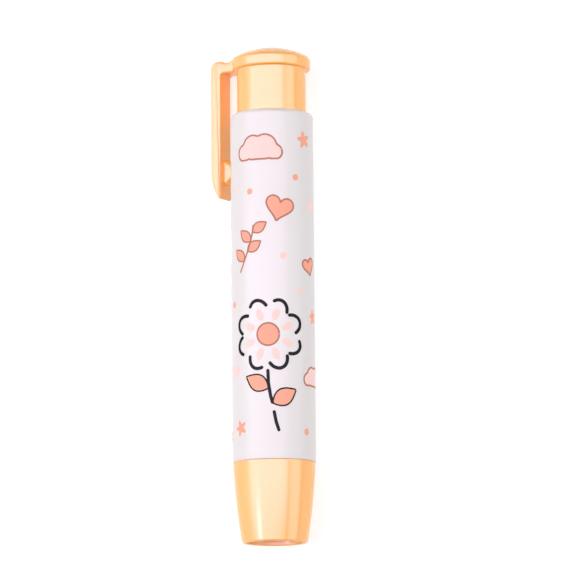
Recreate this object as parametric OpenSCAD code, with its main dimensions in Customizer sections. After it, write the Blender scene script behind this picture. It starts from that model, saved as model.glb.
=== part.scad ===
// Push button eraser stick, lying on a table on its barrel and the edge of its clip.
// Every piece is drawn upright along its own axis, with the mouth of the nose at height 0
// and the push button on top, and the module lay_down puts it on the table.
// Millimetres. In place, the axis runs along +Y, the table is at z = 0.

/* [Barrel] */
// Outer diameter of the barrel
barrel_d = 19; // [18:0.1:21]
// Length of the barrel between its two rims
barrel_len = 80.2; // [70:0.1:100]
// Diameter of the long bore that the button slides in
bore_d = 16; // [15.8:0.05:16.4]
// Rounding of the rear rim
barrel_round = 1; // [0.3:0.1:1.1]
// Small rounding of the front rim, at the seam
seam_round = 0.25; // [0.1:0.05:0.4]

/* [Nose cone] */
// Visible length of the nose cone
nose_len = 18.3; // [17.5:0.1:24]
// Diameter of the nose cone at the seam
nose_d = 18.7; // [18:0.1:19]
// Diameter of the nose cone at the mouth
nose_tip_d = 14.8; // [14.5:0.1:16]
// Height of the nose's curve over a straight cone
nose_bulge = 0.28; // [0:0.02:0.5]
// Diameter of the open mouth
mouth_d = 13; // [11.6:0.1:13.2]
// Depth of the straight bore at the mouth, before it narrows to the guide
mouth_depth = 1.1; // [0.6:0.1:1.4]
// Height at which the mouth has narrowed to the guide
flare_len = 2.4; // [1.5:0.1:3]
// Length of the straight guide behind it
guide_len = 3.4; // [2.2:0.1:4]
// Outer rounding of the mouth's rim
rim_round = 0.45; // [0.3:0.05:0.7]
// Inner rounding of the mouth's rim
lip_round = 0.2; // [0.15:0.05:0.45]
// Length of the spigot that goes into the barrel
spigot_len = 12.5; // [10:0.5:16]
// Wall of the spigot
spigot_wall = 1; // [0.8:0.05:1.1]
// Height of the snap bead on the spigot
bead_h = 0.2; // [0.1:0.05:0.25]

/* [Push cap] */
// Length of the neck that shows at rest
neck_show = 10.4; // [8:0.1:14]
// Length of the neck inside the barrel
neck_hidden = 19; // [14:0.5:24]
// Wall of the neck
neck_wall = 1.2; // [1:0.05:1.4]
// Diameter of the flange
flange_d = 17.9; // [17:0.1:20]
// Height of the flange from its underside to the middle of the domed top
flange_t = 5.1; // [4.8:0.1:6]
// Radius of the domed top
dome_r = 17.5; // [16:0.5:40]
// Thickness of the closed end in its middle
cap_skin = 3; // [2:0.1:3.4]
// Rounding between the domed top and the flange's side
flange_round = 1.3; // [0.4:0.1:1.4]
// Rounding of the flange's lower edge
flange_under_round = 0.4; // [0.2:0.05:0.6]
// Ribs inside the neck that hold the feed tube
rib_count = 6; // [3:1:8]
// Thickness of each rib
rib_t = 1.2; // [0.8:0.1:1.6]
// Length over which the ribs hold the tube
rib_grip_len = 11; // [8:0.5:14]
// Length of the ribs' inner step, the stop of the tube
rib_stop_len = 5; // [3:0.5:6]
// How far the stop reaches in past the tube's outside
rib_stop_reach = 0.6; // [0.4:0.1:0.9]

/* [Clip] */
// How far the clip's top lies below the middle of the domed top
clip_drop = 1.9; // [1.6:0.1:2.2]
// How far the bridge's top lies below the middle of the domed top
bridge_drop = 2.4; // [2.3:0.1:2.8]
// Length of the clip from its top to its tip
clip_len = 32.1; // [26:0.1:40]
// Width of the clip
clip_w = 4.9; // [4.4:0.1:6]
// Thickness of the clip
clip_t = 2.55; // [2.4:0.05:3]
// Space between the barrel and the clip's inner face
clip_gap = 2.9; // [2:0.1:3.1]
// Thickness of the bridge from the flange to the clip
bridge_t = 2.35; // [2:0.05:2.6]
// Fillet under the bridge
bridge_fillet = 0.8; // [0.3:0.1:1.2]
// Rounding of the clip's upper outer corner
clip_top_round = 2.2; // [0.5:0.1:2.3]
// Rounding of the clip's long outer edges
clip_edge_round = 0.5; // [0.2:0.1:0.9]
// Length of the curve that leads in to the clip's tip
tip_len = 6; // [5:0.5:8]
// Radius of that curve
tip_curve = 10; // [9.5:0.5:12]
// Radius of the tip's end
tip_round = 0.9; // [0.6:0.1:1.1]
// Length of the ball inside the tip, a pad with a round back
ball_len = 6; // [4.5:0.1:7]
// Width of the ball
ball_w = 2.3; // [1.8:0.1:3]
// Distance from the clip's end to the middle of the ball
ball_from_tip = 6.25; // [5.5:0.25:9]
// Space between the ball and the barrel
ball_gap = 0.3; // [0.2:0.05:0.5]

/* [Eraser] */
// Diameter of the eraser
eraser_d = 10; // [9.7:0.05:10.2]
// Length of a new eraser
eraser_len = 60; // [50:1:70]
// How far the eraser lies back in the mouth
eraser_set_back = 2.8; // [2:0.1:4]
// Rounding of the eraser's ends
eraser_round = 0.4; // [0.2:0.1:0.8]

/* [Clutch] */
// Travel of the push button
press_travel = 6; // [4:0.5:7]
// Travel of the clutch ring, which is one step of the eraser
ring_travel = 1.5; // [1:0.1:2]
// Wall of the feed tube and the collet's shank
tube_wall = 0.95; // [0.85:0.05:1]
// Length of the collet's straight head
head_len = 4; // [3:0.25:5]
// Length of the collet's cone
cone_len = 6.5; // [5.5:0.25:7]
// Height of the head over the shank
head_rise = 0.65; // [0.5:0.05:0.75]
// Length of the clutch ring
ring_len = 4.5; // [3.5:0.25:5]
// Fingers of the collet
finger_count = 3; // [3:1:4]
// Width of the slits between the fingers
slit_w = 0.9; // [0.6:0.1:1.2]
// Diameter of the hole that ends each slit
slit_hole_d = 1.6; // [1.2:0.1:2]
// Length of the slits
slit_len = 13; // [12:0.5:14]
// Depth of the waist where the fingers bend
waist_depth = 0.25; // [0.1:0.05:0.35]
// Length of the waist
waist_len = 2.4; // [1.5:0.1:2.6]
// Grip ridges inside each finger
ridge_count = 5; // [3:1:6]
// Distance from ridge to ridge
ridge_pitch = 1; // [0.7:0.1:1.2]
// Height of a ridge
ridge_h = 0.1; // [0.05:0.05:0.1]
// Length of the lap joint between collet and feed tube
lap_len = 6; // [4:0.5:8]
// Length of the collet's shank in front of the feed tube
shank_len = 5.3; // [5:0.1:8]
// Diameter of the brake ring's section
brake_wire_d = 1.2; // [1:0.1:1.3]

/* [Spring] */
// Diameter of the spring wire
wire_d = 0.7; // [0.5:0.05:0.8]
// Mean diameter of the spring
spring_d = 14.3; // [14.2:0.05:14.5]
// Length of the spring at rest
spring_len = 24; // [20:0.5:28]
// Turns of the spring, with the two closed ones
spring_turns = 8; // [6:1:9]
// Thickness of the spring's two seats
seat_t = 1.6; // [1:0.1:2.5]
// Height of the lip that centres the spring on its front seat
seat_lip_h = 1.2; // [0.8:0.1:1.5]

/* [Clearances] */
// Running gap of the neck in the bore, on the radius
neck_gap = 0.1; // [0.05:0.01:0.1]
// Gap of the eraser in the tube, the collet and the guide, on the radius
eraser_gap = 0.15; // [0.12:0.01:0.2]
// Running gap of the clutch ring and of the shank, on the radius
clutch_gap = 0.1; // [0.05:0.01:0.1]
// Running gap of the ring on the collet's cone, on the radius
cone_gap = 0.05; // [0.03:0.01:0.08]
// Gap of pieces that are pressed together, on the radius
fit_gap = 0.02; // [0.01:0.01:0.03]
// Space that is left in front of the collet when the button is down
end_gap = 0.3; // [0.2:0.1:0.6]

/* [Hidden] */
turn_fn = 96;
arc_steps = 6;
nose_steps = 14;
wire_sides = 8;
rings_per_turn = 18;
cut = 1;

// Radii, from the eraser outwards
eraser_r = eraser_d / 2;
tube_in_r = eraser_r + eraser_gap;
tube_r = tube_in_r + tube_wall;
lap_r = (tube_in_r + tube_r) / 2;
head_r = tube_r + head_rise;
chamber_r = head_r + eraser_gap;
ring_wall = 0.6;
ring_r = head_r + ring_wall - clutch_gap;
ring_chamber_r = ring_r + clutch_gap;
spigot_r = ring_chamber_r + spigot_wall;
socket_r = spigot_r + fit_gap;
bore_r = bore_d / 2;
barrel_r = barrel_d / 2;
neck_r = bore_r - neck_gap;
neck_in_r = neck_r - neck_wall;
flange_r = flange_d / 2;
mouth_r = mouth_d / 2;
bush_bore_r = tube_r + clutch_gap;
spring_in_r = spring_d / 2 - wire_d / 2;
seat_lip_r = spring_in_r - 0.15;
collar_r = spring_d / 2 + wire_d / 2 + 0.15;

// Heights over the mouth
barrel_end = nose_len + barrel_len;
spigot_end = nose_len + spigot_len;
flange_under = barrel_end + neck_show;
top = flange_under + flange_t;
neck_start = barrel_end - neck_hidden;
guide_end = flare_len + guide_len;
brake_at = flare_len + guide_len / 2;
collet_start = guide_end + end_gap + press_travel;
cone_start = collet_start + head_len;
cone_end = cone_start + cone_len;
ring_start = cone_end - ring_len;
shoulder = ring_start - ring_travel;
tube_start = cone_end + shank_len;
lap_end = tube_start + lap_len;
spring_start = spigot_end + seat_t;
collar_at = spring_start + spring_len;
ribs_start = neck_start + 2;
tube_end = ribs_start + rib_grip_len;
bead_at = spigot_end - 4;
bead_flat = 0.4;

// Where the domed top turns into the rounding of the rim, and the height of that rounding's middle
dome_end = acos((flange_r - flange_round) / (dome_r - flange_round));
rim_at = top - dome_r + (dome_r - flange_round) * sin(dome_end);

// Clip, out from the axis
clip_in_r = barrel_r + clip_gap;
clip_out_r = clip_in_r + clip_t;
clip_top = top - clip_drop;
clip_end = clip_top - clip_len;
bridge_top = top - bridge_drop;
bridge_root_r = flange_r - 1.5;
bridge_flare = 0.8;
ball_h = clip_gap - ball_gap;
ball_at = clip_end + ball_from_tip;

// The clip turns down until its rounded lower edge meets the table
edge_r = clip_out_r - clip_edge_round;
edge_y = clip_w / 2 - clip_edge_round;
clip_roll = asin((barrel_r - clip_edge_round) / norm([edge_r, edge_y])) - atan2(edge_y, edge_r);
reach_left = edge_r * cos(clip_roll) + edge_y * sin(clip_roll) + clip_edge_round;
axis_x = (reach_left - barrel_r) / 2;

function arc(c, r, a0, a1, n = arc_steps) =
    [for (i = [0:n]) let (a = a0 + (a1 - a0) * i / n) c + r * [cos(a), sin(a)]];

// Radius of the nose's outside at height s
function nose_r(s) = let (t = s / nose_len)
    nose_tip_d / 2 + (nose_d - nose_tip_d) / 2 * t + 4 * nose_bulge * t * (1 - t);

// Radius of the collet's cone at height s
function cone_r(s) = head_r - head_rise * (s - cone_start) / cone_len;

// Snap bead, or the groove around it when grow is the gap
function bead(r, grow = 0) = [
    [r, bead_at - grow], [r + bead_h, bead_at + bead_h - grow],
    [r + bead_h, bead_at + bead_h + bead_flat + grow], [r, bead_at + 2 * bead_h + bead_flat + grow]];

function backwards(list) = [for (i = [len(list) - 1:-1:0]) list[i]];

module lay_down()
    translate([axis_x, 0, barrel_r]) rotate([-90, 0, 0]) translate([0, 0, -top / 2]) children();

module turned(profile) rotate_extrude($fn = turn_fn) polygon(profile);

module barrel() color("#f6f3f4") lay_down() turned(concat(
    [[socket_r + seam_round, nose_len]],
    arc([barrel_r - seam_round, nose_len + seam_round], seam_round, -90, 0, 3),
    arc([barrel_r - barrel_round, barrel_end - barrel_round], barrel_round, 0, 90),
    [[bore_r + 0.3, barrel_end], [bore_r, barrel_end - 0.3],
     [bore_r, spring_start], [socket_r, spring_start]],
    backwards(bead(socket_r, fit_gap)),
    [[socket_r, nose_len + seam_round]]));

module nose_cone() color("#ffdcb4") lay_down() {
    groove_r = eraser_r + fit_gap + brake_wire_d + 0.08;
    groove_half = brake_wire_d / 2 + fit_gap;
    turned(concat(
        [[ring_chamber_r + 0.2, spigot_end], [ring_chamber_r, spigot_end - 0.2],
         [ring_chamber_r, shoulder], [chamber_r, shoulder],
         [chamber_r, guide_end], [tube_in_r, guide_end],
         [tube_in_r, brake_at + groove_half], [groove_r, brake_at + groove_half],
         [groove_r, brake_at - groove_half], [tube_in_r, brake_at - groove_half],
         [tube_in_r, flare_len], [mouth_r, mouth_depth]],
        arc([mouth_r + lip_round, lip_round], lip_round, 180, 270),
        arc([nose_r(rim_round) - rim_round, rim_round], rim_round, -90, 0),
        [for (i = [1:nose_steps]) let (s = rim_round + (nose_len - rim_round) * i / nose_steps)
            [nose_r(s), s]],
        [[spigot_r, nose_len]],
        bead(spigot_r),
        [[spigot_r, spigot_end - 0.3], [spigot_r - 0.3, spigot_end]]));
}

// Side outline of the bridge and the clip, as distance from the axis and height. The bridge
// flares into the domed flange, and its top rises in a soft step to the clip's
function clip_side() = let (
        lead = asin((tip_len - tip_round) / (tip_curve - tip_round)),
        c = [clip_out_r - tip_curve, clip_end + tip_len],
        end = c + (tip_curve - tip_round) * [cos(lead), -sin(lead)])
    concat(
        [[bridge_root_r, bridge_top - bridge_t]],
        arc([clip_in_r - bridge_fillet, bridge_top - bridge_t - bridge_fillet], bridge_fillet, 90, 0),
        [[clip_in_r, end[1]]],
        arc(end, tip_round, -90, -lead),
        arc(c, tip_curve, -lead, 0),
        arc([clip_out_r - clip_top_round, clip_top - clip_top_round], clip_top_round, 0, 90),
        [for (i = [1:arc_steps]) let (t = i / arc_steps)
            [clip_in_r - 1.6 * t, bridge_top + (clip_top - bridge_top) * (1 + cos(180 * t)) / 2]],
        arc([flange_r + bridge_flare, bridge_top + bridge_flare], bridge_flare, 270, 225),
        [[bridge_root_r, bridge_top]]);

// Side outline of the ball, a half ellipse that stands on the clip's inner face
function ball_side() = concat([[clip_in_r + clip_t / 2, ball_at - ball_len / 2]],
    [for (i = [-2 * arc_steps:2 * arc_steps]) let (a = 45 * i / arc_steps)
        [clip_in_r - ball_h * cos(a), ball_at + ball_len / 2 * sin(a)]],
    [[clip_in_r + clip_t / 2, ball_at + ball_len / 2]]);

// Cross-section of the clip with its two outer edges rounded
function clip_section() = concat(
    [[bridge_root_r - cut, -clip_w / 2]],
    arc([edge_r, -edge_y], clip_edge_round, -90, 0),
    arc([edge_r, edge_y], clip_edge_round, 0, 90),
    [[bridge_root_r - cut, clip_w / 2]]);

module clip() rotate([0, 0, 180 - clip_roll]) {
    intersection() {
        rotate([90, 0, 0]) linear_extrude(clip_w + cut, center = true) polygon(clip_side());
        translate([0, 0, clip_end - cut]) linear_extrude(clip_len + 2 * cut) polygon(clip_section());
    }
    rotate([90, 0, 0]) linear_extrude(ball_w, center = true) polygon(ball_side());
}

module neck_ribs() for (i = [0:rib_count - 1]) rotate([0, 0, i * 360 / rib_count]) {
    translate([tube_r + fit_gap, -rib_t / 2, ribs_start])
        cube([neck_in_r + neck_wall / 2 - tube_r - fit_gap, rib_t, rib_grip_len]);
    translate([tube_r - rib_stop_reach, -rib_t / 2, tube_end])
        cube([neck_in_r + neck_wall / 2 - tube_r + rib_stop_reach, rib_t, rib_stop_len]);
}

module push_cap() color("#ffdcb4") lay_down() {
    turned(concat(
        [[0, top - cap_skin]],
        arc([0, top - dome_r], dome_r, 90, dome_end),
        arc([flange_r - flange_round, rim_at], flange_round, dome_end, 0),
        arc([flange_r - flange_under_round, flange_under + flange_under_round],
            flange_under_round, 0, -90),
        [[neck_r, flange_under], [neck_r, neck_start + 0.4], [neck_r - 0.4, neck_start],
         [neck_in_r + 0.2, neck_start], [neck_in_r, neck_start + 0.2],
         [neck_in_r, top - cap_skin]]));
    neck_ribs();
    clip();
}

module eraser_stick() color("#f8f6f2") lay_down() turned(concat(
    [[0, eraser_set_back]],
    arc([eraser_r - eraser_round, eraser_set_back + eraser_round], eraser_round, -90, 0),
    arc([eraser_r - eraser_round, eraser_set_back + eraser_len - eraser_round], eraser_round, 0, 90),
    [[0, eraser_set_back + eraser_len]]));

// Inside of the fingers: saw-tooth ridges that bite the eraser
function grip_ridges() = [
    for (i = [ridge_count - 1:-1:0], step = [1, 0])
        [tube_in_r - step * ridge_h, collet_start + 0.5 + (i + 1 - step * 0.6) * ridge_pitch]];

module collet() color("#e8e4da") lay_down() difference() {
    turned(concat(
        [[tube_in_r, lap_end]],
        [[tube_in_r, collet_start + 0.5 + (ridge_count + 0.4) * ridge_pitch]],
        grip_ridges(),
        [[tube_in_r, collet_start + 0.4], [tube_in_r + 0.4, collet_start],
         [head_r - 0.4, collet_start], [head_r, collet_start + 0.4],
         [head_r, cone_start], [tube_r, cone_end],
         [tube_r, cone_end + 0.4], [tube_r - waist_depth, cone_end + 0.4 + waist_depth],
         [tube_r - waist_depth, cone_end + 0.4 + waist_len],
         [tube_r, cone_end + 0.4 + waist_len + waist_depth],
         [tube_r, tube_start], [lap_r - fit_gap / 2, tube_start],
         [lap_r - fit_gap / 2, lap_end]]));
    for (i = [0:finger_count - 1]) rotate([0, 0, (i + 0.5) * 360 / finger_count]) {
        translate([0, -slit_w / 2, collet_start - cut])
            cube([head_r + cut, slit_w, slit_len + cut]);
        translate([0, 0, collet_start + slit_len]) rotate([0, 90, 0])
            cylinder(h = head_r + cut, d = slit_hole_d, $fn = 48);
    }
}

module clutch_ring() color("#c9a227") lay_down() turned([
    [cone_r(ring_start) + cone_gap, ring_start], [ring_r - 0.2, ring_start],
    [ring_r, ring_start + 0.2], [ring_r, cone_end - 0.2], [ring_r - 0.2, cone_end],
    [cone_r(cone_end) + cone_gap, cone_end]]);

module stop_bush() color("#d8d5cc") lay_down() turned([
    [bush_bore_r, cone_end], [ring_chamber_r - fit_gap - 0.2, cone_end],
    [ring_chamber_r - fit_gap, cone_end + 0.2], [ring_chamber_r - fit_gap, spigot_end],
    [socket_r - clutch_gap, spigot_end], [socket_r - clutch_gap, spring_start],
    [seat_lip_r, spring_start], [seat_lip_r, spring_start + seat_lip_h - 0.2],
    [seat_lip_r - 0.2, spring_start + seat_lip_h], [bush_bore_r, spring_start + seat_lip_h]]);

// Height of the wire's middle after so many turns: one closed turn at each end, open between
function wire_z(turn) = let (
        closed = wire_d * 1.08,
        rise = spring_len - wire_d - 2 * fit_gap,
        pitch = (rise - 2 * closed) / (spring_turns - 2))
    turn < 1 ? turn * closed
    : turn > spring_turns - 1 ? rise - (spring_turns - turn) * closed
    : closed + (turn - 1) * pitch;

module return_spring() color("#b8bcc0") lay_down() {
    rings = spring_turns * rings_per_turn;
    points = [
        for (i = [0:rings], k = [0:wire_sides - 1])
            let (turn = i / rings_per_turn, a = 360 * turn, b = 360 * k / wire_sides,
                 r = spring_d / 2 + wire_d / 2 * cos(b))
            [r * cos(a), r * sin(a), wire_z(turn) + wire_d / 2 * sin(b)]];
    sides = [
        for (i = [0:rings - 1], k = [0:wire_sides - 1])
            let (n = (k + 1) % wire_sides, at = i * wire_sides)
            [at + k, at + n, at + wire_sides + n, at + wire_sides + k]];
    first = [for (k = [wire_sides - 1:-1:0]) k];
    last = [for (k = [0:wire_sides - 1]) rings * wire_sides + k];
    translate([0, 0, spring_start + fit_gap + wire_d / 2])
        polyhedron(points, concat([first], sides, [last]));
}

module feed_tube() color("#e8e4da") lay_down() turned([
    [lap_r + fit_gap / 2, tube_start], [tube_r, tube_start], [tube_r, collar_at],
    [collar_r, collar_at], [collar_r, collar_at + seat_t], [tube_r + 0.3, collar_at + seat_t],
    [tube_r, collar_at + seat_t + 0.3], [tube_r, tube_end - 0.3], [tube_r - 0.3, tube_end],
    [tube_in_r, tube_end], [tube_in_r, lap_end], [lap_r + fit_gap / 2, lap_end]]);

module brake_ring() color("#3a3a3c") lay_down()
    translate([0, 0, brake_at]) rotate_extrude($fn = turn_fn)
        translate([eraser_r + 0.06 + brake_wire_d / 2, 0]) circle(d = brake_wire_d, $fn = 32);

barrel();
nose_cone();
push_cap();
eraser_stick();
collet();
clutch_ring();
stop_bush();
return_spring();
feed_tube();
brake_ring();
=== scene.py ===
"""Looks of a push button eraser stick that lies on a pale table: peach nose and push cap, white printed barrel."""

import math

import bpy
from mathutils import Matrix, Vector


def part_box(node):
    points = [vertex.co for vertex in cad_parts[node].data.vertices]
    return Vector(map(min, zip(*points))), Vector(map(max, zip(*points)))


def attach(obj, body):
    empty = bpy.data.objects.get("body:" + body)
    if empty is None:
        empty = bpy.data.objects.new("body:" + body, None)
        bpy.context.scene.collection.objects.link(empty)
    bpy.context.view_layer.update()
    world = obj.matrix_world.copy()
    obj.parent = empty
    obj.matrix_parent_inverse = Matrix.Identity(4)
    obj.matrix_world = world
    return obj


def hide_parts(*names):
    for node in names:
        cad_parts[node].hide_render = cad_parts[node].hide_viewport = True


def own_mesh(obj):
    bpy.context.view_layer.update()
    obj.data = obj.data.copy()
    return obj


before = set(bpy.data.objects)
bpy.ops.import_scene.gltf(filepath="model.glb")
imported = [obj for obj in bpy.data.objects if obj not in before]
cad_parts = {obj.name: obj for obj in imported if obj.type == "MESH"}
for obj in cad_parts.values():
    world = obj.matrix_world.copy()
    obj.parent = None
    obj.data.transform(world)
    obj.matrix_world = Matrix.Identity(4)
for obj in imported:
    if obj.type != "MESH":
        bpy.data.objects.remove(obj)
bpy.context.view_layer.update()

# Lengths are in millimetres until they are laid down in the frame, which is in metres.
MM = 0.001

# Places and radii that the frame gives: heights count from the mouth of the nose along the stick.
barrel_low, barrel_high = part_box("barrel")
nose_low, nose_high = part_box("nose_cone")
cap_low, cap_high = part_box("push_cap")
_, tube_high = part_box("feed_tube")
eraser_low, eraser_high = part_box("eraser_stick")
AXIS_X = (barrel_low.x + barrel_high.x) / 2
AXIS_Z = (barrel_low.z + barrel_high.z) / 2
MOUTH_Y = nose_low.y


def height(y):
    return (y - MOUTH_Y) / MM


BARREL_R = (barrel_high.x - barrel_low.x) / 2 / MM
SEAM = height(barrel_low.y)
BARREL_END = height(barrel_high.y)
SPIGOT_END = height(nose_high.y)
TOP = height(cap_high.y)
NECK_START = height(cap_low.y)
TUBE_END = height(tube_high.y)
ERASER_START = height(eraser_low.y)
ERASER_END = height(eraser_high.y)
ERASER_R = (eraser_high.x - eraser_low.x) / 2 / MM

# Barrel. Its skin lies a little inside the solid's, so that the print on it stays within the solid.
SKIN_R = BARREL_R - 0.03
BARREL_RIM = 1.0
BORE_R = 8.0
BORE_ROUND = 0.3
SOCKET_R = 8.37
SEAM_ROUND = 0.25
SEAT_T = 1.6

# Nose, from its side in to the mouth and the bores behind it
NOSE_R = 9.35
NOSE_TIP_R = 7.4
NOSE_BULGE = 0.28
NOSE_STEPS = 28
RIM_ROUND = 0.45
LIP_ROUND = 0.2
MOUTH_R = 6.5
MOUTH_DEPTH = 1.1
FLARE_LEN = 2.4
FLARE_CUT = 0.1
FLARE_CUT_LEN = 0.12
GUIDE_R = 5.15
GUIDE_LEN = 3.4
BRAKE_AT = 4.1
BRAKE_GROOVE_R = 6.3
BRAKE_GROOVE_HALF = 0.62
CHAMBER_R = 6.9
SHOULDER = 16.58
SPRING_SEAT_R = 7.35
SPRING_SEAT_CUT = 0.2
SPIGOT_R = 8.35
SPIGOT_CUT = 0.3
SEAM_CUT = 0.15
SEAM_CUT_LEN = 0.12
SEAM_STEP = 0.02
BEAD_AT = SPIGOT_END - 4
BEAD_H = 0.2
BEAD_FLAT = 0.4
FIT_GAP = 0.02

# Neck and flange of the push cap. The rim curve runs from the dome to the flange's wall, with a pull at each end,
# and the gate is the small mark of the moulding in the middle of the dome.
NECK_R = 7.9
NECK_CUT = 0.4
NECK_FILLET = 0.25
NECK_IN_R = 6.7
NECK_IN_CUT = 0.2
CAP_SKIN = 3.0
FLANGE_R = 8.95
FLANGE_T = 5.1
FLANGE_WALL = 2.1
FLANGE_UNDER_ROUND = 0.4
DOME_R = 17.5
DOME_START_DEG = 86
RIM_FROM_R = 7.5
RIM_DOME_PULL = 0.75
RIM_WALL_PULL = 0.6
GATE_R = 0.85
GATE_DEPTH = 0.13
GATE_RIM_R = 1.0
GATE_RIM_DEPTH = 0.09

# Ribs inside the push cap: the long ones grip the feed tube and the short ones stop it.
RIBS = 6
RIB_T = 1.2
RIB_ROOT = 0.6
RIB_GRIP_LEN = 11.0
RIB_STOP_LEN = 5.0
RIB_STOP_R = 5.5
TUBE_R = 6.1

# Clip and bridge
CLIP_TOP = TOP - 1.9
CLIP_END = CLIP_TOP - 32.1
CLIP_W = 4.9
CLIP_IN_R = BARREL_R + 2.9
CLIP_OUT_R = CLIP_IN_R + 2.55
CLIP_TOP_ROUND = 1.7
CLIP_EDGE_ROUND = 0.5
CLIP_SOFT = 0.45
CLIP_STEP = 1.6
BRIDGE_TOP = TOP - 2.4
BRIDGE_T = 2.35
BRIDGE_ROOT_R = FLANGE_R - 1.5
BRIDGE_FILLET = 0.8
BRIDGE_FLARE = 1.9
BRIDGE_FLARE_IN = 0.3
BRIDGE_FLARE_END_DEG = 200
BRIDGE_HIDDEN_R = BRIDGE_ROOT_R - 1.2
BRIDGE_HIDDEN_RISE = 1.1
TIP_LEN = 6.0
TIP_CURVE = 10.0
TIP_ROUND = 0.9
BALL_LEN = 6.0
BALL_W = 2.3
BALL_H = 2.6
BALL_FLAT = 0.05
BALL_ROOT = 2
BALL_AT = CLIP_END + 6.25

ERASER_ROUND = 0.4

# The clip is turned down until its edge meets the table.
edge_out = CLIP_OUT_R - CLIP_EDGE_ROUND
edge_side = CLIP_W / 2 - CLIP_EDGE_ROUND
CLIP_ROLL = (math.asin((BARREL_R - CLIP_EDGE_ROUND) / math.hypot(edge_out, edge_side))
             - math.atan2(edge_side, edge_out))

# Upright pieces, with the mouth at height 0, are laid down along +Y.
LAY_DOWN = Matrix.Translation((AXIS_X, MOUTH_Y, AXIS_Z)) @ Matrix.Rotation(-math.pi / 2, 4, "X")
SPIN_STEPS = 128
SMOOTH_ANGLE = math.radians(32)


# Materials

def linear(hex_colour):
    """An sRGB hex colour as linear red, green, blue and alpha."""
    parts = [int(hex_colour[i:i + 2], 16) / 255 for i in (1, 3, 5)]
    return (*[p / 12.92 if p <= 0.04045 else ((p + 0.055) / 1.055) ** 2.4 for p in parts], 1)


def node(tree, kind, links=(), **settings):
    """Adds a node, sets its named properties and inputs, and links (input, other node, output) to it."""
    made = tree.nodes.new(kind)
    for key, value in settings.items():
        if hasattr(made, key):
            setattr(made, key, value)
        else:
            made.inputs[key.replace("_", " ")].default_value = value
    for socket, source, output in links:
        tree.links.new(source.outputs[output], made.inputs[socket])
    return made


def new_material(name):
    material = bpy.data.materials.new(name)
    material.use_nodes = True
    tree = material.node_tree
    return material, tree, tree.nodes["Principled BSDF"]


DRIFT_MM = 14
DRIFT_GLOSS = (-0.03, 0.04)
PEEL_MM = 0.02
SCATTER_MM = 1.5


def moulded(name, colour, shade, roughness, waviness_mm, waviness,
            subsurface=0.0, warm=(1, 1, 1), gloss_level=0.3):
    """A moulded plastic: its colour and gloss drift a little over a centimetre, and its surface wavers finely."""
    material, tree, shader = new_material(name)
    coords = node(tree, "ShaderNodeTexCoord")
    drift = node(tree, "ShaderNodeTexNoise", [("Vector", coords, "Object")], Scale=1 / (DRIFT_MM * MM), Detail=0.0)
    tint = node(tree, "ShaderNodeMix", [("Factor", drift, "Fac")], data_type="RGBA")
    tint.inputs["A"].default_value = linear(colour)
    tint.inputs["B"].default_value = linear(shade)
    tree.links.new(tint.outputs["Result"], shader.inputs["Base Color"])
    gloss = node(tree, "ShaderNodeMapRange", [("Value", drift, "Fac")],
                 To_Min=roughness + DRIFT_GLOSS[0], To_Max=roughness + DRIFT_GLOSS[1])
    tree.links.new(gloss.outputs["Result"], shader.inputs["Roughness"])
    peel = node(tree, "ShaderNodeTexNoise", [("Vector", coords, "Object")],
                Scale=1 / (waviness_mm * MM), Detail=3.0)
    bump = node(tree, "ShaderNodeBump", [("Height", peel, "Fac")], Strength=waviness, Distance=PEEL_MM * MM)
    tree.links.new(bump.outputs["Normal"], shader.inputs["Normal"])
    shader.inputs["Specular IOR Level"].default_value = gloss_level
    shader.inputs["Subsurface Weight"].default_value = subsurface
    shader.inputs["Subsurface Radius"].default_value = warm
    shader.inputs["Subsurface Scale"].default_value = SCATTER_MM * MM
    return material


# Peach ABS, moulded: glossy, light goes a millimetre or two into it and comes out redder.
peach_abs = moulded("moulded peach ABS", "#FFB760", "#FFB55D", 0.22, 1.6, 0.05, 0.3, (1.0, 0.6, 0.15), 0.875)
# White ABS, moulded: the barrel under the print, with a broad gloss.
white_abs = moulded("moulded white ABS", "#DDD8D7", "#DBD6D5", 0.38, 2.2, 0.05, 0.1, (1.0, 0.8, 0.7))
# Vinyl eraser, extruded and cut: matt, chalky, with a fine pore.
eraser_vinyl = moulded("extruded white vinyl", "#E0DDD6", "#DAD6CE", 0.78, 0.35, 0.5, 0.2, (1.0, 0.85, 0.75))
# Acetal, moulded: the clutch and the feed tube, milky and waxy.
natural_acetal = moulded("moulded natural acetal", "#E9E5DA", "#E2DDCF", 0.42, 0.9, 0.2, 0.3, (1.0, 0.9, 0.75))
# Nitrile rubber, moulded: the brake ring, dull black.
nitrile = moulded("moulded black nitrile rubber", "#1E1E20", "#262628", 0.62, 0.3, 0.3)


MARK_LEN_MM = 4
MARK_GLOSS = (-0.06, 0.1)
MARK_DEPTH_MM = 0.01


def metal(name, colour, roughness, groove_mm):
    """A bare metal with the fine marks of its making, one after another along the stick."""
    material, tree, shader = new_material(name)
    coords = node(tree, "ShaderNodeTexCoord")
    squeeze = (1 / (MARK_LEN_MM * MM), 1 / (groove_mm * MM), 1 / (MARK_LEN_MM * MM))
    lines = node(tree, "ShaderNodeMapping", [("Vector", coords, "Object")], Scale=squeeze)
    marks = node(tree, "ShaderNodeTexNoise", [("Vector", lines, "Vector")], Scale=1.0, Detail=4.0)
    gloss = node(tree, "ShaderNodeMapRange", [("Value", marks, "Fac")],
                 To_Min=roughness + MARK_GLOSS[0], To_Max=roughness + MARK_GLOSS[1])
    bump = node(tree, "ShaderNodeBump", [("Height", marks, "Fac")], Strength=0.25, Distance=MARK_DEPTH_MM * MM)
    tree.links.new(gloss.outputs["Result"], shader.inputs["Roughness"])
    tree.links.new(bump.outputs["Normal"], shader.inputs["Normal"])
    shader.inputs["Base Color"].default_value = linear(colour)
    shader.inputs["Metallic"].default_value = 1.0
    return material


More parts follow.
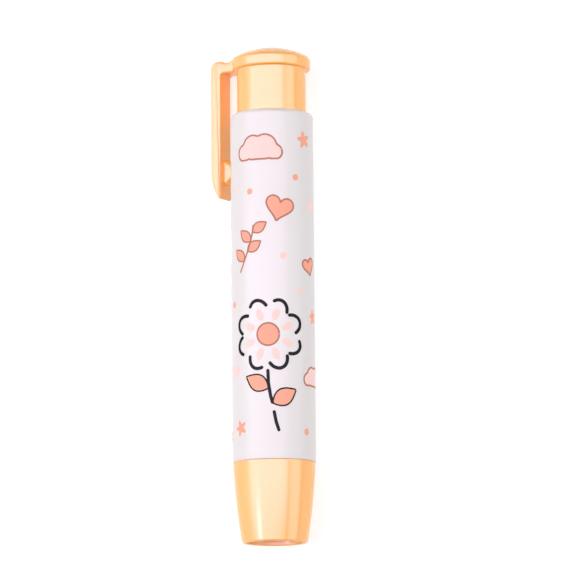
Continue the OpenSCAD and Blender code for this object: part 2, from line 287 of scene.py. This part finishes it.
# Brass, turned: the clutch ring, with the tool's rings along it.
turned_brass = metal("turned brass", "#D9B45A", 0.36, 0.12)
# Music wire, drawn: the return spring, grey with fine lines.
drawn_wire = metal("drawn spring steel", "#A9ADB1", 0.36, 0.2)


def ink(name, colour, shade):
    """Pad printed ink: a thin film, a little duller than the barrel, that covers unevenly at a scale of 0.5 mm."""
    return moulded(name, colour, shade, 0.45, 0.5, 0.25, gloss_level=0.09)


coral_ink = ink("printed coral ink", "#F3A188", "#F5A98F")
brown_ink = ink("printed brown ink", "#B1705C", "#B97A66")
blush_ink = ink("printed blush ink", "#F4CEC8", "#F6D3CE")
black_ink = ink("printed black ink", "#0F0D0E", "#161314")


# Modelling

def only(piece):
    """Makes the piece the selected and active one, in object mode."""
    if bpy.context.object and bpy.context.object.mode == "EDIT":
        bpy.ops.object.mode_set(mode="OBJECT")
    bpy.ops.object.select_all(action="DESELECT")
    piece.select_set(True)
    bpy.context.view_layer.objects.active = piece


def ring_of(points, fill="NOTHING"):
    """A circle primitive whose vertices are moved to the given points."""
    bpy.ops.object.select_all(action="DESELECT")
    bpy.ops.mesh.primitive_circle_add(vertices=len(points), radius=MM, fill_type=fill)
    piece = bpy.context.object
    for vertex, point in zip(piece.data.vertices, points):
        vertex.co = [MM * value for value in point]
    return piece


def sheet(across, along, point):
    """A grid primitive whose vertices go to point(i, j), in millimetres, with the ones that meet merged."""
    bpy.ops.object.select_all(action="DESELECT")
    bpy.ops.mesh.primitive_grid_add(x_subdivisions=across, y_subdivisions=along, size=MM)
    piece = bpy.context.object
    for index, vertex in enumerate(piece.data.vertices):
        vertex.co = [MM * value for value in point(index % (across + 1), index // (across + 1))]
    bpy.ops.object.mode_set(mode="EDIT")
    bpy.ops.mesh.select_all(action="SELECT")
    bpy.ops.mesh.remove_doubles(threshold=1e-7)
    bpy.ops.object.mode_set(mode="OBJECT")
    return piece


def finish_piece(piece, name, material):
    """Lays the piece's place into its mesh, names it and gives it its material and soft shading."""
    piece.name = piece.data.name = name
    only(piece)
    bpy.ops.object.transform_apply(location=True, rotation=True, scale=True)
    piece.data.materials.clear()
    piece.data.materials.append(material)
    bpy.ops.object.shade_smooth_by_angle(angle=SMOOTH_ANGLE)
    return piece


def lay_down(piece, turn=0.0):
    """Turns an upright piece about the stick's axis and lays it along +Y."""
    piece.matrix_world = LAY_DOWN @ Matrix.Rotation(turn, 4, "Z")
    only(piece)
    bpy.ops.object.transform_apply(location=True, rotation=True, scale=True)
    return piece


def spun(outline):
    """A turned piece: its outline, as radius and height, is spun right round. It may start on the axis."""
    piece = ring_of([(r, 0, s) for r, s in outline])
    only(piece)
    bpy.ops.object.mode_set(mode="EDIT")
    bpy.ops.mesh.select_all(action="SELECT")
    if outline[0][0] == 0:
        bpy.ops.mesh.select_all(action="DESELECT")
        bpy.ops.object.mode_set(mode="OBJECT")
        for edge in piece.data.edges:
            edge.select = all(abs(piece.data.vertices[i].co.x) < 1e-9 for i in edge.vertices)
        bpy.ops.object.mode_set(mode="EDIT")
        bpy.ops.mesh.delete(type="EDGE")
        bpy.ops.mesh.select_all(action="SELECT")
    bpy.ops.mesh.spin(steps=SPIN_STEPS, angle=2 * math.pi, center=(0, 0, 0), axis=(0, 0, 1))
    bpy.ops.mesh.select_all(action="SELECT")
    bpy.ops.mesh.remove_doubles(threshold=1e-6)
    bpy.ops.mesh.normals_make_consistent(inside=False)
    bpy.ops.object.mode_set(mode="OBJECT")
    return piece


def arc(centre, radius, start, end, steps):
    """Points of an arc in the outline's plane, angles in degrees."""
    angles = [math.radians(start + (end - start) * i / steps) for i in range(steps + 1)]
    return [(centre[0] + radius * math.cos(a), centre[1] + radius * math.sin(a)) for a in angles]


def bead(r, grow=0):
    """The nose's snap bead, or with a gap to grow by the groove around it."""
    top = BEAD_AT + 2 * BEAD_H + BEAD_FLAT
    return [(r, BEAD_AT - grow), (r + BEAD_H, BEAD_AT + BEAD_H - grow),
            (r + BEAD_H, top - BEAD_H + grow), (r, top + grow)]


def union(piece, others):
    """Fuses the others into the piece and removes them."""
    for other in others:
        only(piece)
        fuse = piece.modifiers.new("fuse", "BOOLEAN")
        fuse.operation, fuse.solver, fuse.object = "UNION", "EXACT", other
        bpy.ops.object.modifier_apply(modifier=fuse.name)
        bpy.data.objects.remove(other)
    return piece


def place(piece, body, slot, *nodes):
    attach(piece, body)
    if nodes:
        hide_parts(*nodes)


# Barrel: a tube with a round rear rim, a socket for the nose at its front and a sharp seam edge

barrel = spun(
    [(SOCKET_R + SEAM_ROUND, SEAM)]
    + arc((SKIN_R - SEAM_ROUND, SEAM + SEAM_ROUND), SEAM_ROUND, -90, 0, 4)
    + arc((SKIN_R - BARREL_RIM, BARREL_END - BARREL_RIM), BARREL_RIM, 0, 90, 10)
    + arc((BORE_R + BORE_ROUND, BARREL_END - BORE_ROUND), BORE_ROUND, 90, 180, 4)
    + [(BORE_R, SPIGOT_END + SEAT_T), (SOCKET_R, SPIGOT_END + SEAT_T)]
    + bead(SOCKET_R, FIT_GAP)[::-1] + [(SOCKET_R, SEAM + SEAM_ROUND)])
lay_down(barrel)
finish_piece(barrel, "printed_barrel", white_abs)
place(barrel, "holder", "printed_barrel", "barrel")


# Nose: a tapered cone with a slight belly, a rounded rim and a flared mouth

def nose_r(s):
    """Radius of the nose's side at a height."""
    t = s / SEAM
    return NOSE_TIP_R + (NOSE_R - NOSE_TIP_R) * t + 4 * NOSE_BULGE * t * (1 - t)


nose_side = [RIM_ROUND + (SEAM - RIM_ROUND) * i / NOSE_STEPS for i in range(1, NOSE_STEPS)]
nose = spun(
    [(SPRING_SEAT_R + SPRING_SEAT_CUT, SPIGOT_END), (SPRING_SEAT_R, SPIGOT_END - SPRING_SEAT_CUT),
     (SPRING_SEAT_R, SHOULDER), (CHAMBER_R, SHOULDER),
     (CHAMBER_R, FLARE_LEN + GUIDE_LEN), (GUIDE_R, FLARE_LEN + GUIDE_LEN),
     (GUIDE_R, BRAKE_AT + BRAKE_GROOVE_HALF), (BRAKE_GROOVE_R, BRAKE_AT + BRAKE_GROOVE_HALF),
     (BRAKE_GROOVE_R, BRAKE_AT - BRAKE_GROOVE_HALF), (GUIDE_R, BRAKE_AT - BRAKE_GROOVE_HALF),
     (GUIDE_R, FLARE_LEN + FLARE_CUT_LEN), (GUIDE_R + FLARE_CUT, FLARE_LEN - FLARE_CUT),
     (MOUTH_R - FLARE_CUT, MOUTH_DEPTH + FLARE_CUT), (MOUTH_R, MOUTH_DEPTH - FLARE_CUT_LEN)]
    + arc((MOUTH_R + LIP_ROUND, LIP_ROUND), LIP_ROUND, 180, 270, 6)
    + arc((nose_r(RIM_ROUND) - RIM_ROUND, RIM_ROUND), RIM_ROUND, -90, 0, 8)
    + [(nose_r(s), s) for s in nose_side]
    + [(NOSE_R - SEAM_STEP, SEAM - SEAM_CUT_LEN), (NOSE_R - SEAM_CUT, SEAM), (SPIGOT_R, SEAM)]
    + bead(SPIGOT_R)
    + [(SPIGOT_R, SPIGOT_END - SPIGOT_CUT), (SPIGOT_R - SPIGOT_CUT, SPIGOT_END)])
lay_down(nose)
finish_piece(nose, "tapered_nose", peach_abs)
place(nose, "holder", "peach_plastic", "nose_cone")


# Push cap: neck and flange are spun, then ribs, bridge, clip and ball are fused on, as one moulding

def blend_curve(a, b, c, d, steps):
    """Points of a Bezier curve, without its first one."""
    shares = [i / steps for i in range(1, steps + 1)]
    return [tuple((1 - t) ** 3 * p + 3 * t * (1 - t) ** 2 * q + 3 * t * t * (1 - t) * r + t ** 3 * e
                  for p, q, r, e in zip(a, b, c, d)) for t in shares]


dome_end = math.degrees(math.acos(RIM_FROM_R / DOME_R))
rim_from = (RIM_FROM_R, TOP - DOME_R + DOME_R * math.sin(math.radians(dome_end)))
rim_slope = math.radians(90 - dome_end)
rim_to = (FLANGE_R, TOP - FLANGE_T + FLANGE_WALL)
cap = spun(
    [(0, TOP - CAP_SKIN), (0, TOP - GATE_DEPTH), (GATE_R, TOP - GATE_DEPTH), (GATE_RIM_R, TOP - GATE_RIM_DEPTH)]
    + arc((0, TOP - DOME_R), DOME_R, DOME_START_DEG, dome_end, 14)
    + blend_curve(rim_from,
                  (rim_from[0] + RIM_DOME_PULL * math.cos(rim_slope),
                   rim_from[1] - RIM_DOME_PULL * math.sin(rim_slope)),
                  (FLANGE_R, rim_to[1] + RIM_WALL_PULL), rim_to, 14)
    + arc((FLANGE_R - FLANGE_UNDER_ROUND, TOP - FLANGE_T + FLANGE_UNDER_ROUND), FLANGE_UNDER_ROUND, 0, -90, 6)
    + arc((NECK_R + NECK_FILLET, TOP - FLANGE_T - NECK_FILLET), NECK_FILLET, 90, 180, 4)
    + [(NECK_R, NECK_START + NECK_CUT), (NECK_R - NECK_CUT, NECK_START),
       (NECK_IN_R + NECK_IN_CUT, NECK_START), (NECK_IN_R, NECK_START + NECK_IN_CUT),
       (NECK_IN_R, TOP - CAP_SKIN)])


def clip_outline():
    """Side outline of bridge and clip, as distance from the axis and height. It ends hidden in the flange."""
    lead = math.asin((TIP_LEN - TIP_ROUND) / (TIP_CURVE - TIP_ROUND))
    curve = (CLIP_OUT_R - TIP_CURVE, CLIP_END + TIP_LEN)
    end = (curve[0] + (TIP_CURVE - TIP_ROUND) * math.cos(lead),
           curve[1] - (TIP_CURVE - TIP_ROUND) * math.sin(lead))
    lead = math.degrees(lead)
    fillet = (CLIP_IN_R - BRIDGE_FILLET, BRIDGE_TOP - BRIDGE_T - BRIDGE_FILLET)
    corner = (CLIP_OUT_R - CLIP_TOP_ROUND, CLIP_TOP - CLIP_TOP_ROUND)
    step = [(CLIP_IN_R - CLIP_STEP * t, BRIDGE_TOP + (CLIP_TOP - BRIDGE_TOP) * (1 + math.cos(math.pi * t)) / 2)
            for t in [i / 8 for i in range(1, 9)]]
    flare = arc((FLANGE_R - BRIDGE_FLARE_IN + BRIDGE_FLARE, BRIDGE_TOP + BRIDGE_FLARE),
                BRIDGE_FLARE, 270, BRIDGE_FLARE_END_DEG, 6)
    return ([(BRIDGE_ROOT_R, BRIDGE_TOP - BRIDGE_T)]
            + arc(fillet, BRIDGE_FILLET, 90, 0, 6)
            + arc(end, TIP_ROUND, -90, -lead, 6)
            + arc(curve, TIP_CURVE, -lead, 0, 10)[1:]
            + arc(corner, CLIP_TOP_ROUND, 0, 90, 12)
            + step + flare + [(BRIDGE_HIDDEN_R, BRIDGE_TOP + BRIDGE_HIDDEN_RISE)])


def slab(outline, width, edge):
    """A slab of the given width with a side outline and softened edges, upright in the plane of X and height."""
    piece = ring_of([(r, -width / 2, s) for r, s in outline], "NGON")
    only(piece)
    bpy.ops.object.mode_set(mode="EDIT")
    bpy.ops.mesh.select_all(action="SELECT")
    bpy.ops.mesh.extrude_region_move(TRANSFORM_OT_translate={"value": (0, width * MM, 0)})
    bpy.ops.mesh.select_all(action="SELECT")
    bpy.ops.mesh.normals_make_consistent(inside=False)
    bpy.ops.object.mode_set(mode="OBJECT")
    soften = piece.modifiers.new("soften", "BEVEL")
    soften.width = edge * MM
    soften.segments = 4
    soften.limit_method = "ANGLE"
    soften.angle_limit = math.radians(50)
    soften.use_clamp_overlap = False
    bpy.ops.object.modifier_apply(modifier=soften.name)
    return piece


clip = slab(clip_outline(), CLIP_W, CLIP_SOFT)
ball = slab([(CLIP_IN_R - BALL_H * math.cos(a), BALL_AT + BALL_LEN / 2 * math.sin(a))
             for a in [math.radians(-90 + 180 * i / 28) for i in range(29)]]
            + [(CLIP_IN_R + BALL_ROOT, BALL_AT + BALL_LEN / 2),
               (CLIP_IN_R + BALL_ROOT, BALL_AT - BALL_LEN / 2)],
            BALL_W, BALL_W / 2 - BALL_FLAT)
union(clip, [ball])
lay_down(clip, math.pi - CLIP_ROLL)


def block(low, high, turn):
    """A box from corner to corner, upright, turned about the axis."""
    bpy.ops.object.select_all(action="DESELECT")
    bpy.ops.mesh.primitive_cube_add(size=1)
    made = bpy.context.object
    made.scale = [(b - a) * MM for a, b in zip(low, high)]
    made.location = [(a + b) / 2 * MM for a, b in zip(low, high)]
    made.matrix_world = Matrix.Rotation(turn, 4, "Z") @ made.matrix_basis
    bpy.ops.object.transform_apply(location=True, rotation=True, scale=True)
    return made


ribs = []
rib_out = NECK_IN_R + RIB_ROOT
rib_start = TUBE_END - RIB_GRIP_LEN
for i in range(RIBS):
    turn = i * 2 * math.pi / RIBS
    ribs.append(block((TUBE_R + FIT_GAP, -RIB_T / 2, rib_start), (rib_out, RIB_T / 2, TUBE_END), turn))
    ribs.append(block((RIB_STOP_R, -RIB_T / 2, TUBE_END), (rib_out, RIB_T / 2, TUBE_END + RIB_STOP_LEN), turn))
union(cap, ribs)
lay_down(cap)
union(cap, [clip])
finish_piece(cap, "push_button_with_clip", peach_abs)
place(cap, "button", "peach_plastic", "push_cap")


# Eraser: an extruded round stick with broken edges

eraser = spun(
    [(0, ERASER_START), (ERASER_R - ERASER_ROUND, ERASER_START)]
    + arc((ERASER_R - ERASER_ROUND, ERASER_START + ERASER_ROUND), ERASER_ROUND, -90, 0, 5)[1:]
    + arc((ERASER_R - ERASER_ROUND, ERASER_END - ERASER_ROUND), ERASER_ROUND, 0, 90, 5)
    + [(0, ERASER_END)])
lay_down(eraser)
finish_piece(eraser, "round_eraser", eraser_vinyl)
place(eraser, "refill", "eraser_vinyl", "eraser_stick")


# Return spring: round wire, one closed turn at each end. It rides on the holder at one length; the button squeezes
# the real one over its 6 mm

WIRE_R = 0.35
SPRING_R = 7.15
SPRING_TURNS = 8
TURN_STEPS = 48
WIRE_SIDES = 14
CLOSED_TURN = 2 * WIRE_R * 1.08
spring_low, spring_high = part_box("return_spring")
SPRING_START, SPRING_END = height(spring_low.y), height(spring_high.y)


def wire_height(turn):
    """Rise of the wire's middle after so many turns: slow in the closed turns, even between them."""
    rise = SPRING_END - SPRING_START - 2 * WIRE_R
    pitch = (rise - 2 * CLOSED_TURN) / (SPRING_TURNS - 2)
    if turn < 1:
        return turn * CLOSED_TURN
    if turn > SPRING_TURNS - 1:
        return rise - (SPRING_TURNS - turn) * CLOSED_TURN
    return CLOSED_TURN + (turn - 1) * pitch


def wire_point(i, j):
    turn = i / TURN_STEPS
    side = 2 * math.pi * j / WIRE_SIDES
    r = SPRING_R + WIRE_R * math.cos(side)
    angle = 2 * math.pi * turn
    return (r * math.cos(angle), r * math.sin(angle),
            SPRING_START + WIRE_R + wire_height(turn) + WIRE_R * math.sin(side))


spring = sheet(SPRING_TURNS * TURN_STEPS, WIRE_SIDES, wire_point)
only(spring)
bpy.ops.object.mode_set(mode="EDIT")
bpy.ops.mesh.select_all(action="DESELECT")
bpy.ops.mesh.select_non_manifold()
bpy.ops.mesh.edge_face_add()
bpy.ops.mesh.select_all(action="SELECT")
bpy.ops.mesh.normals_make_consistent(inside=False)
lay_down(spring)
finish_piece(spring, "wound_return_spring", drawn_wire)
place(spring, "holder", "spring_steel", "return_spring")
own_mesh(spring)


# The pieces of the clutch keep their solids and get their real finishes

for name, material in {"collet": natural_acetal, "feed_tube": natural_acetal, "stop_bush": natural_acetal,
                       "clutch_ring": turned_brass, "brake_ring": nitrile}.items():
    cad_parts[name].data.materials.clear()
    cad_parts[name].data.materials.append(material)


# Print: thin ink on the barrel, a round field of flowers, clouds, hearts and leaves

INK_T = 0.06
INK_LIFT = {"blush": 0.015, "coral": 0.02, "brown": 0.025, "black": 0.03}
LINE = 0.4
LEAF_LINE = 0.35
CLOUD_LINE = 0.42
LINE_STEP = 0.45
RING_STEP = 0.8
AHEAD = 0.15
prints = {layer: [] for layer in INK_LIFT}


def on_barrel(u, s, lift):
    """A point on the barrel, u millimetres round from its top and s up from the mouth."""
    angle = u / SKIN_R
    r = SKIN_R + lift
    return (AXIS_X / MM + r * math.sin(angle), MOUTH_Y / MM + s, AXIS_Z / MM + r * math.cos(angle))


def inked(piece, layer):
    """Gives a printed sheet its thickness, down into the barrel's skin."""
    only(piece)
    bpy.ops.object.mode_set(mode="EDIT")
    bpy.ops.mesh.select_all(action="SELECT")
    bpy.ops.mesh.remove_doubles(threshold=1e-6)
    bpy.ops.object.mode_set(mode="OBJECT")
    face = piece.data.polygons[len(piece.data.polygons) // 2]
    outward = Vector((face.center.x - AXIS_X, 0, face.center.z - AXIS_Z))
    if face.normal.dot(outward) < 0:
        piece.data.flip_normals()
    thick = piece.modifiers.new("thickness", "SOLIDIFY")
    thick.thickness, thick.offset = INK_T * MM, -1
    bpy.ops.object.modifier_apply(modifier=thick.name)
    prints[layer].append(piece)


def filled(layer, centre, outline):
    """A printed patch from its centre out to a closed outline of offsets from it."""
    reach = max(math.hypot(*point) for point in outline)
    rings = max(2, math.ceil(reach / RING_STEP))

    def point(i, j):
        u, s = outline[i % len(outline)]
        return on_barrel(centre[0] + u * j / rings, centre[1] + s * j / rings, INK_LIFT[layer])

    inked(sheet(len(outline), rings, point), layer)


def stroke(layer, path, width):
    """A printed line with round ends along a path."""
    lengths = [0]
    for a, b in zip(path, path[1:]):
        lengths.append(lengths[-1] + math.dist(a, b))
    whole = lengths[-1]
    cap_steps = [width / 2 * (1 - math.cos(math.radians(t))) for t in (0, 30, 60, 90)]
    count = max(1, round((whole - width) / LINE_STEP))
    middle = [width / 2 + (whole - width) * i / count for i in range(1, count)]
    at = cap_steps + middle + [whole - d for d in reversed(cap_steps)]

    def along(d):
        k = max(i for i in range(len(path) - 1) if lengths[i] <= d + 1e-9)
        share = min(1, (d - lengths[k]) / max(1e-9, lengths[k + 1] - lengths[k]))
        return [a + (b - a) * share for a, b in zip(path[k], path[k + 1])]

    def point(i, j):
        d = at[i]
        before, after = along(max(0, d - AHEAD)), along(min(whole, d + AHEAD))
        run = math.dist(before, after)
        inset = max(0, width / 2 - min(d, whole - d))
        half = math.sqrt(max(0, (width / 2) ** 2 - inset ** 2))
        side = half * (j - 1)
        u, s = along(d)
        return on_barrel(u - side * (after[1] - before[1]) / run,
                         s + side * (after[0] - before[0]) / run, INK_LIFT[layer])

    inked(sheet(len(at) - 1, 2, point), layer)


def loop(r_of, n=72, start=0.0, end=360.0):
    """Offsets at distance r_of(angle) round a centre, from start to end degrees."""
    whole = end - start >= 360
    angles = [start + (end - start) * i / (n if whole else n - 1) for i in range(n)]
    return [(r_of(a) * math.cos(math.radians(a)), r_of(a) * math.sin(math.radians(a))) for a in angles]


def moved(points, centre, turn=0.0, grow=1.0):
    """The points turned by degrees and grown about 0, then moved to the centre."""
    c, d = math.cos(math.radians(turn)), math.sin(math.radians(turn))
    return [(centre[0] + grow * (u * c - s * d), centre[1] + grow * (u * d + s * c)) for u, s in points]


def closed(points):
    return points + points[:1]


def turned(points, turn):
    return moved(points, (0, 0), turn)


def dot(layer, u, s, r):
    filled(layer, (u, s), loop(lambda a: r, 20))


def heart(layer, u, s, size, turn=0.0, edge=None):
    outline = [(size * 0.5 * math.sin(t) ** 3,
                size * (0.4 * math.cos(t) - 0.16 * math.cos(2 * t)
                        - 0.06 * math.cos(3 * t) - 0.03 * math.cos(4 * t)))
               for t in [2 * math.pi * (i + 0.5) / 44 for i in range(44)]]
    filled(layer, (u, s), turned(outline, turn))
    if edge:
        stroke(edge, moved(closed(outline), (u, s), turn, 1.02), LINE)


def star(layer, u, s, size, turn=0.0):
    points = loop(lambda a: size * (0.5 + 0.17 * math.cos(math.radians(5 * (a - 90)))), 60)
    filled(layer, (u, s), turned(points, turn))


def leaf(u, s, length, turn, edge="brown"):
    """A leaf with an outline, from its root at u and s."""
    side = [(length * t, 0.3 * length * math.sin(math.pi * t ** 0.85)) for t in [i / 14 for i in range(15)]]
    outline = side + [(x, -y) for x, y in side[-2:0:-1]]
    middle = [(x - length / 2, y) for x, y in outline]
    filled("coral", (u + length / 2 * math.cos(math.radians(turn)), s + length / 2 * math.sin(math.radians(turn))),
           turned(middle, turn))
    stroke(edge, moved(closed(outline), (u, s), turn), LEAF_LINE)


def sprig(u, s, size, turn):
    """A bent stem with two leaves to either side."""
    def bend(t):
        return (0.25 * size * math.sin(t * 1.6), size * t)

    stroke("brown", moved([bend(i / 10) for i in range(11)], (u, s), turn), LINE)
    for t, side in ((0.25, -1), (0.45, 1), (0.65, -1), (0.85, 1)):
        base = moved([bend(t)], (u, s), turn)[0]
        leaf(*base, 0.36 * size, turn + 90 - side * 52)


def cloud(u, s, size):
    """A flat bottomed cloud: the outline round five overlapping puffs."""
    puffs = ((-0.33, -0.06, 0.19), (-0.13, 0.07, 0.24), (0.14, 0.05, 0.27), (0.36, -0.07, 0.17), (0, -0.06, 0.24))

    def reach(a):
        far = []
        for x, y, r in puffs:
            c, off = math.hypot(x, y), math.radians(a) - math.atan2(y, x)
            if r * r > (c * math.sin(off)) ** 2:
                far.append(c * math.cos(off) + math.sqrt(r * r - (c * math.sin(off)) ** 2))
        return size * max(far)

    outline = [(x, max(y, -0.22 * size)) for x, y in loop(reach, 96)]
    filled("blush", (u, s), outline)
    stroke("brown", moved(closed(outline), (u, s)), CLOUD_LINE)


def daisy(u, s, size, petals, line, edge):
    """A flower with white petals in a broken outline, blush inside each petal and a coral heart."""
    def reach(a):
        return size * (0.34 + 0.16 * abs(math.sin(math.radians(petals * a / 2))) ** 0.7)

    oval = [(x * size * 0.085, y * size * 0.05) for x, y in loop(lambda a: 1, 20)]
    step = 360 / petals
    for i in range(petals):
        gap = 9 if i % 3 else 2
        stroke(edge, moved(loop(reach, 20, i * step + 2, (i + 1) * step - gap), (u, s)), line)
        petal = (i + 0.5) * step
        near = moved([(size * 0.29, 0)], (u, s), petal)[0]
        filled("blush", near, turned(oval, petal))
    filled("coral", (u, s), loop(lambda a: size * 0.15, 36))
    stroke("brown", moved(loop(lambda a: size * 0.155, 40, 0, 359), (u, s)), LINE)


# The large flower on its stem
daisy(-1.2, 46.5, 16.5, 8, 0.8, "black")
stroke("black", [(-1.3, 38.6), (-1.2, 35.4), (-0.7, 32.4), (-0.2, 30.6)], 0.75)
stroke("black", [(0.0, 29.2), (0.5, 26.6), (1.2, 24.4)], 0.75)
leaf(-1.2, 34.2, 6.2, 152, "black")
leaf(-0.2, 30.8, 6.4, 30, "black")

# Small things round it, on the side that the photograph shows
cloud(-3.2, 89.0, 10.5)
star("coral", 8.2, 91.5, 3.0, 12)
dot("coral", 5.6, 82.6, 0.75)
dot("blush", -10.5, 80.5, 0.9)
heart("coral", 1.6, 75.5, 6.4, -14, "brown")
sprig(-8.4, 61.0, 11.0, -6)
star("blush", 10.8, 76.5, 2.8, -15)
dot("coral", -5.4, 79.4, 0.7)
heart("coral", 9.8, 62.6, 4.4, 16, "brown")
dot("blush", 2.4, 64.4, 0.85)
dot("coral", -11.2, 54.0, 0.75)
star("coral", 11.6, 51.0, 2.6, 10)
cloud(11.8, 37.0, 8.0)
heart("blush", -10.6, 38.5, 3.8, -12)
star("coral", -8.6, 25.6, 2.8, 20)
dot("coral", 8.4, 24.6, 0.8)
dot("blush", 6.6, 56.6, 0.7)

# The same things, set otherwise, on the far side
daisy(-19.5, 74.5, 9.5, 7, 0.5, "brown")
daisy(24.5, 60.0, 11.0, 8, 0.55, "black")
daisy(-25.0, 33.0, 10.0, 7, 0.5, "brown")
sprig(-17.0, 47.0, 10.5, 14)
sprig(19.0, 80.0, 9.0, -10)
cloud(27.5, 83.0, 8.0)
cloud(-27.0, 55.0, 7.5)
cloud(20.5, 43.0, 8.0)
heart("coral", -16.5, 62.0, 4.4, 10, "brown")
heart("coral", 28.5, 46.5, 4.6, -12, "brown")
heart("blush", -25.0, 90.0, 4.2, 8)
heart("coral", 20.5, 29.0, 5.0, 12, "brown")
for layer, u, s, size in (("coral", -16.0, 86.0, 2.6), ("blush", 17.5, 70.0, 2.6), ("coral", 28.0, 71.5, 2.8),
                          ("coral", -27.0, 66.0, 2.6), ("blush", -19.0, 38.5, 2.8), ("coral", 27.5, 30.5, 2.6),
                          ("coral", -14.5, 24.0, 2.6)):
    star(layer, u, s, size, 3 * u)
for layer, u, s, r in (("coral", -28.5, 80.5, 0.8), ("blush", 17.0, 91.5, 0.8), ("coral", 17.0, 53.5, 0.75),
                       ("blush", 28.5, 38.0, 0.8), ("coral", -20.0, 55.0, 0.7), ("blush", -28.5, 43.5, 0.8),
                       ("coral", -18.5, 29.5, 0.8), ("coral", 25.0, 22.5, 0.7), ("blush", -24.5, 23.5, 0.8)):
    dot(layer, u, s, r)

for layer, material in {"blush": blush_ink, "coral": coral_ink, "brown": brown_ink, "black": black_ink}.items():
    bpy.ops.object.select_all(action="DESELECT")
    for piece in prints[layer]:
        piece.select_set(True)
    bpy.context.view_layer.objects.active = prints[layer][0]
    bpy.ops.object.join()
    printed = finish_piece(bpy.context.object, "print_" + layer, material)
    place(printed, "holder", "printed_barrel")


# Table, light and camera

bpy.ops.object.select_all(action="DESELECT")
bpy.ops.mesh.primitive_plane_add(size=6, location=(0, 0, 0))
table_top = bpy.context.object
table_top.name = "table_top"
# Opal acrylic, cast and matt: a light table, lit faintly from below, so that shadows on it stay pale.
opal, _, opal_shader = new_material("opal acrylic light table")
opal_shader.inputs["Base Color"].default_value = linear("#B4B4B4")
opal_shader.inputs["Roughness"].default_value = 0.8
opal_shader.inputs["Emission Color"].default_value = (1, 1, 1, 1)
opal_shader.inputs["Emission Strength"].default_value = 0.6
table_top.data.materials.append(opal)

scene = bpy.context.scene
scene.view_settings.view_transform = "Standard"
world = bpy.data.worlds.new("studio")
scene.world = world
world.use_nodes = True
background = world.node_tree.nodes["Background"]
background.inputs["Color"].default_value = (1, 0.965, 0.94, 1)
background.inputs["Strength"].default_value = 0.12


def softbox(name, location, width, depth, power, colour=(1, 1, 1), mirrored=True, lights=True):
    """A softbox that looks at the stick, with its width across it. It may stay out of the gloss, or in it alone."""
    light = bpy.data.lights.new(name, "AREA")
    light.shape, light.size, light.size_y = "RECTANGLE", width, depth
    light.energy, light.color = power, colour
    lamp = bpy.data.objects.new(name, light)
    scene.collection.objects.link(lamp)
    lamp.location = location
    away = Vector(location).normalized()
    across = Vector((0, 1, 0)).cross(away).normalized()
    lamp.rotation_mode = "QUATERNION"
    lamp.rotation_quaternion = Matrix((across, away.cross(across), away)).transposed().to_quaternion()
    lamp.visible_glossy = mirrored
    lamp.visible_diffuse = lights


# A wide strip over the stick and the fills light it. The broad sheen panels only show in the plastic's gloss.
softbox("strip", (-0.17, 0.03, 1.0), 3.6, 0.6, 20.5, (0.98, 0.99, 1.0), mirrored=False)
softbox("key", (-0.73, -0.27, 0.59), 0.17, 0.2, 1.15, (1.0, 0.92, 1.0))
softbox("side", (-0.87, 0.15, 0.5), 0.3, 0.3, 0.5, mirrored=False)
softbox("left fill", (-0.9, -0.05, 0.2), 0.6, 0.6, 1.0, mirrored=False)
softbox("right fill", (0.9, -0.05, 0.24), 0.6, 0.6, 2.6, mirrored=False)
softbox("sheen", (-0.3, 0.12, 0.95), 3.0, 1.0, 53.0, (1.0, 0.76, 1.1), lights=False)
softbox("left sheen", (-1.1, 0.12, 0.17), 0.45, 0.9, 2.8, (1.0, 0.9, 1.05), lights=False)
softbox("right sheen", (0.95, 0.1, 0.5), 0.7, 1.0, 7.3, (1.0, 0.9, 1.05), lights=False)

# The photograph looks almost straight down, from a little to the nose's side, through a long lens.
ELEVATION = 81.5
DISTANCE = 0.905
FOCAL_MM = 247.8
LOOK_AT = Vector((AXIS_X + 3.4 * MM, 1.35 * MM, AXIS_Z))
ROLL = math.radians(0.48)
up_angle = math.radians(ELEVATION)
back = Vector((0, -math.cos(up_angle), math.sin(up_angle)))
camera = bpy.data.objects.new("camera", bpy.data.cameras.new("camera"))
scene.collection.objects.link(camera)
camera.data.lens = FOCAL_MM
camera.data.sensor_width = 36
camera.location = LOOK_AT + DISTANCE * back
camera.rotation_mode = "QUATERNION"
camera.rotation_quaternion = (-back).to_track_quat("-Z", "Y") @ Matrix.Rotation(-ROLL, 4, "Z").to_quaternion()
camera.data.clip_start = 0.05
camera.data.clip_end = 20
scene.camera = camera
